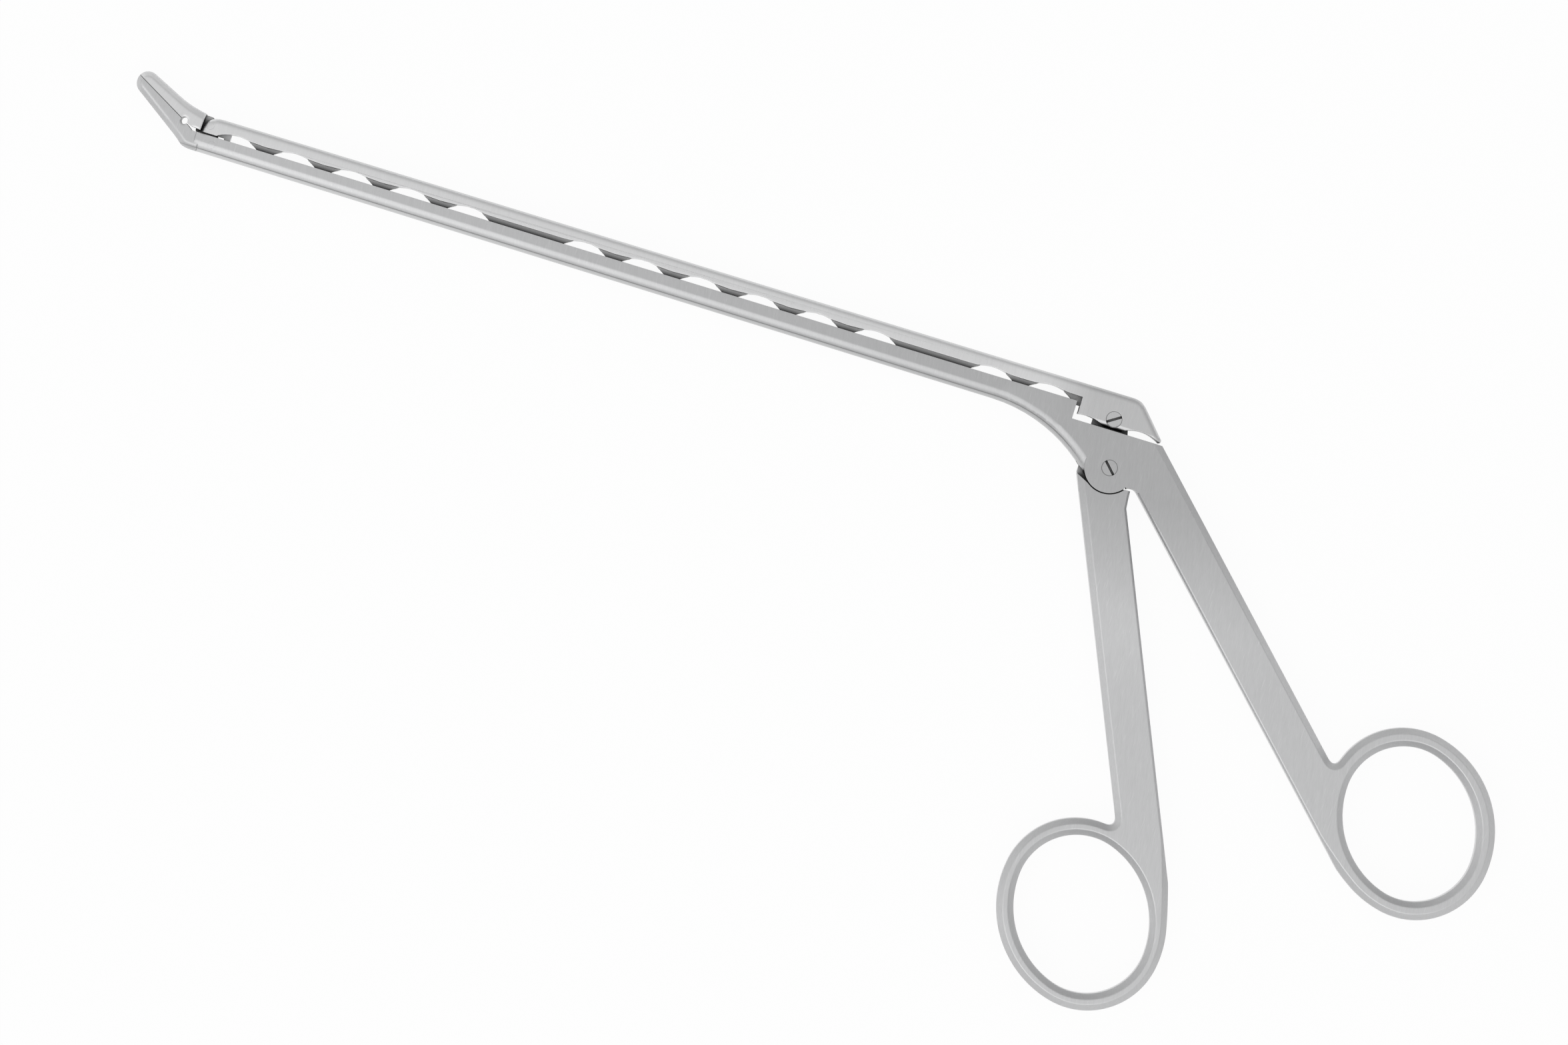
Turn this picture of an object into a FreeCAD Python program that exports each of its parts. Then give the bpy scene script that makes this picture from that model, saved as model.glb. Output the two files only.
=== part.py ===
import FreeCAD, Part
import math
import os

# Up-angled disc rongeur with ring handles, closed, lying on its side. Millimetres.
# X runs from the jaws (-X) to the back of the body (+X), Y away from the handles, Z through the thickness.
# The origin is on the main pivot screw's axis, in the plane on which the instrument lies.

# body and handles
body_thickness = 6.6
cheek_gap = 2.6                 # slot between the two cheeks of the body
lobe_radius = 4.2               # round boss of the body about the main pivot
body_top = 6.05                 # flat behind the step, above the main pivot
step_back = 8.4                 # step from the slide face down to body_top, ahead of the pivot
sweep_start = 22.0              # where the underside leaves the shaft and sweeps into the boss
crotch_radius = 1.55            # notch between the boss and the rear handle
crotch_out = 0.4                # its centre, beyond the boss's radius behind the pivot
crotch_up = 0.35                # and short of it below
crotch_from = -33.0             # the web leaves the boss at this angle
flare_length = 12.1             # the sides widen over this length behind the start of the sweep
body_rear = 5.6

# shafts
slide_height = 9.12             # slide face of the lower shaft, above the main pivot
shaft_width = 4.6
lower_depth_front = 3.1         # slide face to underside, at the jaws
lower_depth_rear = 3.7          # the same, where the sweep starts
lower_edge_round = 1.9
rail_mouth = 2.3                # groove in the slide face
rail_mouth_depth = 0.75
rail_undercut = 3.4             # wide part of the T groove
rail_undercut_height = 0.95
slide_clearance = 0.05

# sliding shaft
bar_height = 3.18               # slide face to the top of the sliding shaft
bar_lift = 0.88                 # slide face to the lower edge of its side faces
bar_edge_round = 1.0
window_radius = 6.1
window_rise = 1.27              # top of a cleaning window above the slide face
window_pitch = 10.13
first_window_setback = 5.95     # nose to the middle of the first window
last_window_gap = 4.0           # least distance from a window's middle to the rear block
rail_lands = (5, 12)            # window positions left solid, where the T rails are
rail_land_length = 7.4
nose_round = 3.2                # length of the nose's round top
nose_cheek = 4.0                # length of the cheeks' low front part
nose_lower_edge = 0.3           # nose cheeks above the slide face
neck_setback = 4.95             # nose to the square front of the neck under the bar
block_width = 6.2
step_gap = 0.7                  # rear block behind the body's step, closed
block_gap = 0.23                # rear block above the body's top
scallop_rise = 1.2              # above body_top
scallop_behind = 3.3
scallop_ahead = 6.3
block_top_end = 0.2
block_shoulder = 3.2            # length and drop of the round shoulder above the slanted back
block_shoulder_drop = 1.55
tail_reach = 6.9
tail_rise = 0.72                # block's foot to where its slanted back meets the tail's round nose
tail_lip = 0.4

# jaws
reach = 173.75                  # main pivot to the jaw tip
jaw_length = 12.8               # jaw tip to the nose of the sliding shaft
tip_rise = 5.43                 # slide face to the middle of the round tip
tip_radius = 1.93
bite_angle = 29.0
top_angle = 25.0
under_angle = 34.7
under_radius = 6.3
under_lead = 0.65               # nose to where the underside starts to turn up
jaw_width = 3.4
heel_width = 4.4
cup_taper_start = 6.25          # the jaws reach jaw_width this far behind the tip
heel_length = 2.05              # and heel_width this far ahead of the nose
jaw_edge_break = 0.85
tip_overrun = 0.5               # the plan's round end lies this far past the tip
bite_gap = 0.04
relief_radius = 0.62
relief_lead = 3.25              # nose to the relief hole on the bite line
heel_gap = 0.2
heel_lean = 0.2
heel_step = 0.5
heel_top = 12.45
crown_length = 7.75             # tip to where the slanted back ends and levels off to the heel
cup_length = 7.4
cup_rim = 0.55
cup_setback = 0.35              # the rim is this much wider at the tip
cup_depth_lower = 1.55
cup_depth_upper = 1.25
cup_break = 0.8

# jaw mechanism
jaw_pin_setback = 2.3           # behind the nose
jaw_pin_drop = 1.37             # below the slide face
jaw_pin_diameter = 1.2
link_rise = 2.95                # link pin above the jaw pin
link_lead = 1.05                # and ahead of it, closed
link_pin_diameter = 1.2
jaw_opening = 40.0              # degrees
jaw_tang = 1.5
jaw_eye_radius = 1.05
fork_depth = 3.95               # nose to the root of its fork
jaw_slot_depth = 4.45           # nose to the rear end of the slot in the lower shaft

# handle mechanism
drive_rise = 1.88               # drive screw above the body's top
drive_lead = 1.63               # and ahead of it, closed
screw_diameter = 2.7
screw_slot_width = 0.42
screw_slot_depth = 0.45
tang_front = 5.0
tang_back = 1.35
tang_head_radius = 2.6
tang_eye_radius = 3.9
tang_back_turn = 20.0           # the tang's back edge leaves its eye at this angle
tang_corner = (0.95, 2.05)      # its rounded front corner: behind the front edge and above the drive screw
tang_corner_start = 0.6
tang_play = 0.75                # more room ahead of the tang in the rear block
running_clearance = 0.03
fit_clearance = 0.01
side_clearance = 0.1
swing_clearance = 0.35
shoulder_gap = 0.22
shoulder_front = 232.0          # the finger handle's hollow shoulder: between these angles round the boss
shoulder_rear = -37.0
shoulder_rise = (6.0, 3.0)      # the front of the shoulder slants up and ahead
# outline of the shoulder's rear tip, from the corner of the boss's square: up its free side, then back
horn = ((1.17, -4.6), (0.72, -3.0), (0.42, -1.2), (0.28, 0.4), (0.22, 1.45), (-2.7, 1.45), (-1.2, -4.6))

# ring handles: the arm's angle is from straight down, its offset from the pivot is towards the ring side
arm_width = 7.45
arm_edge_break = 1.0            # broad slant along the arm's outer side and both lips of the ring
arm_bevel = 0.35
finger_arm_angle = 23.4
finger_arm_offset = 1.72
finger_ring_at = (73.35, 12.87)         # along the arm and across it, from the main pivot
finger_ring_hole = (26.7, 22.35)
finger_ring_band = 2.85
thumb_arm_angle = 45.0
thumb_arm_offset = 5.76
thumb_ring_at = (75.85, 16.3)
thumb_ring_hole = (26.2, 21.9)
thumb_ring_band = 3.1
ring_tilt = 10.0
ring_end_share = 0.9            # end radius of a ring's oval as a share of its half width
ring_thickness = 5.0
ring_corner = 2.4               # length of the blend between ring and arm
run_in = 24.0                   # stretch over which the arm's ground side runs out on the ring

mid = body_thickness / 2
tang_thickness = cheek_gap - 2 * side_clearance
drive_lift = body_top + drive_rise
block_front = step_back - step_gap
block_foot = body_top + block_gap
bar_top = slide_height + bar_height
crotch_at = (lobe_radius + crotch_out, crotch_up - lobe_radius)
nose_reach = reach - jaw_length
neck_front = nose_reach - neck_setback
first_window = nose_reach - first_window_setback
window_count = 1 + int((first_window - block_front - last_window_gap) / window_pitch)
tip_at = (tip_radius - reach, slide_height + tip_rise)
under_start = nose_reach + under_lead
waist_front = reach - cup_taper_start
waist_back = nose_reach + heel_length
relief_x = -nose_reach - relief_lead
relief_at = (relief_x, tip_at[1] - (relief_x - tip_at[0]) * math.tan(math.radians(bite_angle)))
jaw_pin_at = (-nose_reach + jaw_pin_setback, slide_height - jaw_pin_drop)
link_pin_at = (jaw_pin_at[0] - link_lead, jaw_pin_at[1] + link_rise)
drive_at = (-drive_lead, drive_lift)
link_start = math.degrees(math.atan2(link_lead, link_rise))
slide_travel = link_lead + link_rise * math.tan(math.radians(jaw_opening - link_start))
drive_start = math.degrees(math.atan2(drive_lead, drive_lift))
handle_opening = drive_start + math.degrees(math.atan2(slide_travel - drive_lead, drive_lift))


def vec(point, z=0.0):
    return FreeCAD.Vector(point[0], point[1], z)


def line(a, b):
    return Part.LineSegment(vec(a), vec(b)).toShape()


def arc(a, middle, b):
    return Part.Arc(vec(a), vec(middle), vec(b)).toShape()


def bezier(*poles):
    curve = Part.BezierCurve()
    curve.setPoles([vec(p) for p in poles])
    return curve.toShape()


def chain(*points):
    return [line(a, b) for a, b in zip(points, points[1:])]


def around(centre, radius, degrees):
    turn = math.radians(degrees)
    return (centre[0] + radius * math.cos(turn), centre[1] + radius * math.sin(turn))


def slab(edges, thickness):
    """A closed outline in XY, as thick as asked, about the middle plane."""
    face = Part.Face(Part.Wire(edges))
    face.translate(FreeCAD.Vector(0, 0, mid - thickness / 2))
    return face.extrude(FreeCAD.Vector(0, 0, thickness))


def polygon(points, thickness):
    return slab(chain(*points, points[0]), thickness)


def disc(centre, radius, thickness):
    return Part.makeCylinder(radius, thickness, vec(centre, mid - thickness / 2))


def hull_pair(a, b, radius, thickness):
    """Two equal round ends joined by straight flanks."""
    along = math.degrees(math.atan2(b[1] - a[1], b[0] - a[0]))
    a1, a2 = around(a, radius, along + 90), around(a, radius, along - 90)
    b1, b2 = around(b, radius, along + 90), around(b, radius, along - 90)
    edges = [
        line(a2, b2),
        arc(b2, around(b, radius, along), b1),
        line(b1, a1),
        arc(a1, around(a, radius, along + 180), a2),
    ]
    return slab(edges, thickness)


def plan_slab(edges, low, high):
    """A closed outline drawn as (x, z - mid) and carried up Y from low to high."""
    face = Part.Face(Part.Wire(edges))
    face.rotate(FreeCAD.Vector(0, 0, 0), FreeCAD.Vector(1, 0, 0), 90)
    face.translate(FreeCAD.Vector(0, high, mid))
    return face.extrude(FreeCAD.Vector(0, low - high, 0))


def edges_where(shape, test):
    return [e for e in shape.Edges if test(e)]


def block(x0, x1, y0, y1, thickness):
    return Part.makeBox(x1 - x0, y1 - y0, thickness, FreeCAD.Vector(x0, y0, mid - thickness / 2))


def oval_arcs(long_half, short_half):
    """A ring's oval of four arcs: end and side radius, and the normal's turn where they meet."""
    end = ring_end_share * short_half
    run = long_half - end
    side = (short_half ** 2 - end ** 2 + run ** 2) / (2 * (short_half - end))
    return end, side, math.atan2(side - short_half, run)


def oval_point(centre, long_half, short_half, normal):
    """The point of a ring's oval whose outward normal has this turn, and the way along the outline there."""
    end, side, meet = oval_arcs(long_half, short_half)
    turn = normal + math.radians(ring_tilt)
    c, s = math.cos(turn), math.sin(turn)
    if abs(s) < math.sin(meet):
        x, y = math.copysign(long_half - end, c) + end * c, end * s
    else:
        x, y = side * c, side * s - math.copysign(side - short_half, s)
    tilt = -math.radians(ring_tilt)
    ct, st = math.cos(tilt), math.sin(tilt)
    point = (centre[0] + x * ct - y * st, centre[1] + x * st + y * ct)
    return point, (-math.sin(normal), math.cos(normal))


def oval_edges(centre, long_half, short_half, first, last):
    """Arcs of a ring's oval between two turns of its normal, anticlockwise."""
    meet = oval_arcs(long_half, short_half)[2]
    shift = math.radians(ring_tilt)
    breaks = [first, last]
    for lap in (-1, 0, 1):
        for turn in (meet, math.pi - meet, math.pi + meet, -meet):
            turn += 2 * math.pi * lap - shift
            if first + 1e-6 < turn < last - 1e-6:
                breaks.append(turn)
    breaks = sorted(set(breaks))
    edges = []
    for start, stop in zip(breaks, breaks[1:]):
        points = [oval_point(centre, long_half, short_half, t)[0] for t in (start, (start + stop) / 2, stop)]
        edges.append(arc(*points))
    return edges


def turned(point, degrees):
    """A point turned about the main pivot, anticlockwise."""
    c, s = math.cos(math.radians(degrees)), math.sin(math.radians(degrees))
    return (point[0] * c - point[1] * s, point[0] * s + point[1] * c)


def ahead(point, way, distance):
    return (point[0] + way[0] * distance, point[1] + way[1] * distance)


def s_curve(a, b):
    """Two equal arcs from a to b, tangent to each other and level along X at both ends."""
    middle = ((a[0] + b[0]) / 2, (a[1] + b[1]) / 2)
    run, rise = b[0] - a[0], b[1] - a[1]
    radius = (run ** 2 + rise ** 2) / (4 * abs(rise))
    quarter = run / 4
    sag = radius - math.sqrt(radius ** 2 - quarter ** 2)
    first = (a[0] + quarter, a[1] + math.copysign(sag, rise))
    second = (b[0] - quarter, b[1] - math.copysign(sag, rise))
    return [arc(a, first, middle), arc(middle, second, b)]


def face_curve(side, drop, start, ring_at, far):
    """One face of an arm in its side view, (x, z - mid), from the body's thickness to the ring's."""
    high = side * (body_thickness / 2 - drop)
    low = side * (ring_thickness / 2 - drop)
    fall_from = lobe_radius + arm_width
    fall_to = ring_at[0] - 1.3 * run_in
    edges = [line((start, high), (fall_from, high))]
    edges += s_curve((fall_from, high), (fall_to, low))
    return edges + [line((fall_to, low), (far, low))]


def edge_bevel(side, inner_side, ring_at, far):
    """A slanted prism that breaks one edge of the arm's ground side and follows the face as it falls."""
    start = -1.0
    beyond = side * body_thickness
    edges = face_curve(side, arm_bevel, start, ring_at, far)
    last = (far, side * (ring_thickness / 2 - arm_bevel))
    first = (start, side * (body_thickness / 2 - arm_bevel))
    edges += chain(last, (far, beyond), (start, beyond), first)
    face = Part.Face(Part.Wire(Part.__sortEdges__(edges)))
    face.rotate(FreeCAD.Vector(0, 0, 0), FreeCAD.Vector(1, 0, 0), 90)
    face.translate(FreeCAD.Vector(0, inner_side - 1, mid - side))
    return face.extrude(FreeCAD.Vector(0, 1 + 2 * arm_bevel, side * (1 + 2 * arm_bevel)))


def runs_round(edge):
    """Edges that follow the outline on either face, without the arm's butt end."""
    box = edge.BoundBox
    return box.ZLength < ring_thickness / 2 and box.XLength > 0.001


def ring_arm(offset, ring_at, hole, band):
    """An arm along +X with its ring on the +Y side, before it is turned to its place.

    Its outer side and the ring have broad slanted edges. Its inner side is ground flat and lightly bevelled,
    and the flat runs out where the ring curves away.
    """
    long_half, short_half = hole[0] / 2 + band, hole[1] / 2 + band
    far = ring_at[0] + long_half
    outer_side = offset + arm_width / 2
    inner_side = offset - arm_width / 2
    stock = inner_side - 1.1 * arm_edge_break
    # the outer side meets the ring where its normal has this turn, and a blend rounds that corner
    turns = [math.pi * (1 + k / 1440) for k in range(721)]
    corners = [(oval_point(ring_at, long_half, short_half, t)[0], t) for t in turns]
    corner, meet = min(corners, key=lambda c: abs(c[0][1] - outer_side))
    leave = meet - ring_corner / short_half
    onto, onto_way = oval_point(ring_at, long_half, short_half, leave)
    arm_end = (corner[0] - ring_corner, outer_side)
    pull = 0.55 * ring_corner
    # the stock on the inner side joins the ring past its lowest point
    join = -math.pi / 2 + 0.2
    from_ring, from_way = oval_point(ring_at, long_half, short_half, join)
    arm_start = (ring_at[0] - run_in, stock)
    outline = [
        line((0, outer_side), arm_end),
        bezier(arm_end, ahead(arm_end, (1, 0), pull), ahead(onto, onto_way, pull), onto),
        bezier(
            arm_start,
            ahead(arm_start, (1, 0), run_in / 3),
            ahead(from_ring, from_way, -run_in / 3),
            from_ring,
        ),
        line(arm_start, (0, stock)),
        line((0, stock), (0, outer_side)),
    ]
    outline += oval_edges(ring_at, long_half, short_half, join, leave)
    solid = slab(Part.__sortEdges__(outline), body_thickness)
    side_view = face_curve(1, 0, -1, ring_at, far + 1) + face_curve(-1, 0, -1, ring_at, far + 1)
    side_view.append(line((far + 1, -ring_thickness / 2), (far + 1, ring_thickness / 2)))
    side_view.append(line((-1, -body_thickness / 2), (-1, body_thickness / 2)))
    solid = solid.common(plan_slab(Part.__sortEdges__(side_view), stock - 1, ring_at[1] + long_half + 1))
    finger_hole = oval_edges(ring_at, hole[0] / 2, hole[1] / 2, 0, 2 * math.pi)
    solid = solid.cut(slab(Part.__sortEdges__(finger_hole), 2 * body_thickness))
    solid = solid.makeChamfer(arm_edge_break, edges_where(solid, runs_round))
    solid = solid.cut(block(-1, far + 1, stock - 1, inner_side, 2 * body_thickness))
    return solid.cut([edge_bevel(side, inner_side, ring_at, far) for side in (1, -1)])


def place_arm(solid, turn, mirrored):
    """Turn an arm from +X to its place; the finger arm is mirrored so that its ring lies ahead of it."""
    if mirrored:
        solid = solid.mirror(FreeCAD.Vector(0, 0, 0), FreeCAD.Vector(0, 1, 0))
    solid.rotate(FreeCAD.Vector(0, 0, 0), FreeCAD.Vector(0, 0, 1), turn)
    return solid


def width_plan(front, rear, x_rear):
    """Half of the shafts' plan: narrow along the shaft, wider at the body, with a smooth flare between."""
    half_front, half_rear = front / 2, rear / 2
    flare_front = -sweep_start
    flare_back = flare_front + flare_length
    far_front = -(reach + 5)
    upper = [line((far_front, half_front), (flare_front, half_front))]
    upper += s_curve((flare_front, half_front), (flare_back, half_rear))
    upper.append(line((flare_back, half_rear), (x_rear, half_rear)))
    lower = [line((far_front, -half_front), (flare_front, -half_front))]
    lower += s_curve((flare_front, -half_front), (flare_back, -half_rear))
    lower.append(line((flare_back, -half_rear), (x_rear, -half_rear)))
    ends = [
        line((far_front, -half_front), (far_front, half_front)),
        line((x_rear, -half_rear), (x_rear, half_rear)),
    ]
    return Part.__sortEdges__(upper + lower + ends)


def lower_form():
    """The long lower shaft and the body, whose underside sweeps from the shaft into the boss."""
    front = (-under_start, slide_height - lower_depth_front)
    rear = (-sweep_start, slide_height - lower_depth_rear)
    span = math.hypot(rear[0] - front[0], rear[1] - front[1])
    down = ((rear[1] - front[1]) / span, (front[0] - rear[0]) / span)
    # one arc is tangent to the shaft's underside and to the boss
    room = rear[0] ** 2 + rear[1] ** 2 - lobe_radius ** 2
    sweep = room / (2 * (lobe_radius - rear[0] * down[0] - rear[1] * down[1]))
    centre = ahead(rear, down, sweep)
    touch = ahead((0, 0), centre, lobe_radius / math.hypot(*centre))
    arrive = math.degrees(math.atan2(touch[1] - centre[1], touch[0] - centre[0]))
    leave = math.degrees(math.atan2(-down[1], -down[0]))
    edges = [
        line(front, rear),
        arc(rear, around(centre, sweep, (arrive + leave) / 2), touch),
    ]
    edges += chain(
        touch,
        (body_top, 0),
        (body_top, body_top),
        (-step_back, body_top),
        (-step_back, slide_height),
        (-under_start, slide_height),
        front,
    )
    solid = slab(edges, body_thickness)
    solid = solid.common(plan_slab(width_plan(shaft_width, body_thickness, 30), -20, 20))

    def under_edge(edge):
        box = edge.BoundBox
        below = box.YMax < front[1] + 0.1 and box.YMin > touch[1] - 0.1 and box.XMax < touch[0] + 0.1
        return below and box.XLength > 0.5 and box.ZLength < (body_thickness - shaft_width) / 2 + 0.1

    return solid.makeFillet(lower_edge_round, edges_where(solid, under_edge))


def body_boss():
    """The round boss about the main pivot, and the web that ties it to the rear handle behind it."""
    normal = (math.sin(math.radians(thumb_arm_angle)), math.cos(math.radians(thumb_arm_angle)))
    web = [
        (0, 0),
        around((0, 0), lobe_radius, crotch_from),
        crotch_at,
        ahead(crotch_at, normal, crotch_radius + arm_bevel),
        (body_rear, 0),
    ]
    solid = disc((0, 0), lobe_radius, body_thickness).fuse(polygon(web, body_thickness))
    return solid.cut(disc(crotch_at, crotch_radius, body_thickness))


def tang_slot():
    """The room between the body's cheeks in which the finger handle's tang swings."""
    front = -tang_front - 0.25 - swing_clearance
    low = -2 * lobe_radius
    above = body_top + 1
    # the back wall keeps its distance from the tang's back edge with the handle fully open
    head = turned((tang_back, body_top), -handle_opening)
    foot = turned(around((0, 0), tang_eye_radius, tang_back_turn), -handle_opening)
    slope = (head[0] - foot[0]) / (head[1] - foot[1])
    wall_top = (head[0] + slope * (above - head[1]) + swing_clearance, above)
    wall_foot = (foot[0] + swing_clearance, foot[1])
    return [
        disc((0, 0), tang_eye_radius + side_clearance, cheek_gap),
        block(front, 0, low, above, cheek_gap),
        polygon([(-1, 0), (foot[0], 0), wall_foot, wall_top, (-1, above)], cheek_gap),
        block(-1, crotch_at[0], low, -0.5 * lobe_radius, cheek_gap),
    ]


def rail_groove():
    """The T groove in the slide face: open behind the step, closed behind the jaw slot."""
    top = slide_height
    wide_top = top - rail_mouth_depth
    mouth_front = -nose_reach + fork_depth - swing_clearance
    rear = -step_back + 1
    return [
        block(mouth_front, rear, wide_top - 0.1, top + 1, rail_mouth),
        block(-neck_front, rear, wide_top - rail_undercut_height, wide_top, rail_undercut),
    ]


def jaw_plan():
    """Plan of both jaws: as wide as the nose at the heel, narrower at the cups, round at the tip."""
    half_heel, half_jaw = heel_width / 2, jaw_width / 2
    round_from = -reach + half_jaw - tip_overrun
    tip = (round_from - half_jaw, 0)
    back = jaw_pin_at[0]
    upper = [line((back, half_heel), (-waist_back, half_heel))]
    upper += s_curve((-waist_back, half_heel), (-waist_front, half_jaw))
    upper.append(line((-waist_front, half_jaw), (round_from, half_jaw)))
    lower = [line((back, -half_heel), (-waist_back, -half_heel))]
    lower += s_curve((-waist_back, -half_heel), (-waist_front, -half_jaw))
    lower.append(line((-waist_front, -half_jaw), (round_from, -half_jaw)))
    ends = [
        arc((round_from, half_jaw), tip, (round_from, -half_jaw)),
        line((back, -half_heel), (back, half_heel)),
    ]
    return plan_slab(Part.__sortEdges__(upper + lower + ends), 0, 30)


def along_bite(distance, rise=0.0):
    """A point at a distance behind the tip's centre along the bite line, and a rise above that line."""
    turn = math.radians(bite_angle)
    return (
        tip_at[0] + distance * math.cos(turn) + rise * math.sin(turn),
        tip_at[1] - distance * math.sin(turn) + rise * math.cos(turn),
    )


def closed_jaws():
    """Both jaws in one: a round tip, with the slanted back and underside tangent to it."""
    top = around(tip_at, tip_radius, 90 - top_angle)
    under = around(tip_at, tip_radius, 270 - under_angle)
    tip_middle = around(tip_at, tip_radius, 180 - (under_angle - top_angle) / 2)
    bottom = slide_height - lower_depth_front
    # the underside turns from the shaft to the jaw's slant along one arc
    turn = math.radians(under_angle)
    bend = (-under_start - under_radius * math.sin(turn), bottom + under_radius * (1 - math.cos(turn)))
    slant = math.tan(turn)
    under_on = (bend[0], under[1] - slant * (bend[0] - under[0]))
    heel_back = (-nose_reach, heel_top)
    way = (math.cos(math.radians(top_angle)), -math.sin(math.radians(top_angle)))
    crown = ahead(top, way, (crown_length - reach - top[0]) / way[0])
    slant_way = (math.cos(turn), -math.sin(turn))
    edges = [
        line(top, crown),
        bezier(crown, ahead(crown, way, 2.2), ahead(heel_back, (-0.98, 0.2), 1.6), heel_back),
        line(heel_back, (-nose_reach, bottom)),
        line((-nose_reach, bottom), (-under_start, bottom)),
        bezier(
            (-under_start, bottom),
            (-under_start - 0.36 * under_radius, bottom),
            ahead(under_on, slant_way, 0.3 * under_radius),
            under_on,
        ),
        line(under_on, under),
        arc(under, tip_middle, top),
    ]
    return slab(Part.__sortEdges__(edges), body_thickness).common(jaw_plan())


def jaw_side(gap_side):
    """Everything on one side of the parting line, as a prism: 1 above it, -1 below."""
    gap = bite_gap / 2 * gap_side
    bite_far = along_bite(-4 * tip_radius, gap)
    bite_near = along_bite((relief_x - tip_at[0]) / math.cos(math.radians(bite_angle)) - relief_radius, gap)
    if gap_side > 0:
        foot = slide_height + heel_gap
        near = [(-waist_back, foot + heel_step), (-nose_reach, foot + heel_lean)]
        far_level = 2 * bar_top
    else:
        near = [(-waist_back + heel_step, slide_height), (-nose_reach, slide_height)]
        far_level = 0
    far = [(-nose_reach, far_level), (bite_far[0], far_level)]
    return polygon([bite_far, bite_near, relief_at] + near + far, 2 * body_thickness)


def cup(depth, side):
    """The hollow of one cup: a round-ended pocket from the bite line, with a round floor."""
    half = jaw_width / 2 - cup_rim
    front = along_bite(cup_rim + half + cup_setback - tip_radius)
    turn = math.radians(-bite_angle)
    length = cup_length - 2 * half
    straight = [(0, half), (length, half), (length, -half), (0, -half)]
    outline = [
        line(straight[0], straight[1]),
        arc(straight[1], (length + half, 0), straight[2]),
        line(straight[2], straight[3]),
        arc(straight[3], (-half, 0), straight[0]),
    ]
    face = Part.Face(Part.Wire(outline))
    pocket = face.extrude(FreeCAD.Vector(0, 0, depth))
    floor = [e for e in pocket.Edges if e.BoundBox.ZMin > depth - 0.001]
    pocket = pocket.makeChamfer(min(cup_break, 0.6 * depth), floor)
    lip = face.extrude(FreeCAD.Vector(0, 0, -0.5))
    pocket = pocket.fuse(lip)
    # the pocket is drawn with its depth along Z; it is turned so that the depth lies square to the bite line
    pocket.rotate(FreeCAD.Vector(0, 0, 0), FreeCAD.Vector(1, 0, 0), -90 * side)
    pocket.rotate(FreeCAD.Vector(0, 0, 0), FreeCAD.Vector(0, 0, 1), math.degrees(turn))
    pocket.translate(FreeCAD.Vector(front[0], front[1], mid))
    return pocket


def jaw_form():
    """Both jaws' outer form with its edges broken, before the two are parted."""
    whole = closed_jaws()

    def outer_edge(edge):
        box = edge.BoundBox
        runs = box.XLength > 0.05
        ahead_of_heel = box.XMax < -nose_reach + 0.1
        return runs and ahead_of_heel

    return whole.makeChamfer(jaw_edge_break, edges_where(whole, outer_edge))


def lower_shaft():
    """One forging: lower jaw, long shaft, body with two cheeks, and the rear handle with its ring."""
    thumb = ring_arm(thumb_arm_offset, thumb_ring_at, thumb_ring_hole, thumb_ring_band)
    thumb = place_arm(thumb, -thumb_arm_angle, False)
    thumb = thumb.cut(block(-30, 30, body_top, 30, 2 * body_thickness))
    jaw = jaw_form().common(jaw_side(-1)).cut(cup(cup_depth_lower, -1))
    solid = lower_form().fuse([body_boss(), thumb, jaw])
    relief = disc(relief_at, relief_radius, 2 * body_thickness)
    slot_floor = jaw_pin_at[1] - jaw_eye_radius - side_clearance
    slot_width = jaw_tang + 2 * side_clearance
    jaw_slot = block(-waist_back - 0.4, -nose_reach + jaw_slot_depth, slot_floor, bar_top, slot_width)
    bores = [
        disc((0, 0), screw_diameter / 2 + fit_clearance, 2 * body_thickness),
        disc(jaw_pin_at, jaw_pin_diameter / 2 + fit_clearance, 2 * body_thickness),
    ]
    return solid.cut([relief, jaw_slot] + rail_groove() + tang_slot() + bores)


def nose_outline():
    """Front of the sliding shaft, from its lower front corner up and back to the flat top."""
    front = (-nose_reach, slide_height + nose_lower_edge)
    rise = bar_top - front[1]
    over = (-nose_reach + nose_round, bar_top)
    round_top = bezier(
        front,
        ahead(front, (0.05, 1), 0.75 * rise),
        ahead(over, (-1, 0), 0.62 * nose_round),
        over,
    )
    return front, over, round_top


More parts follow.
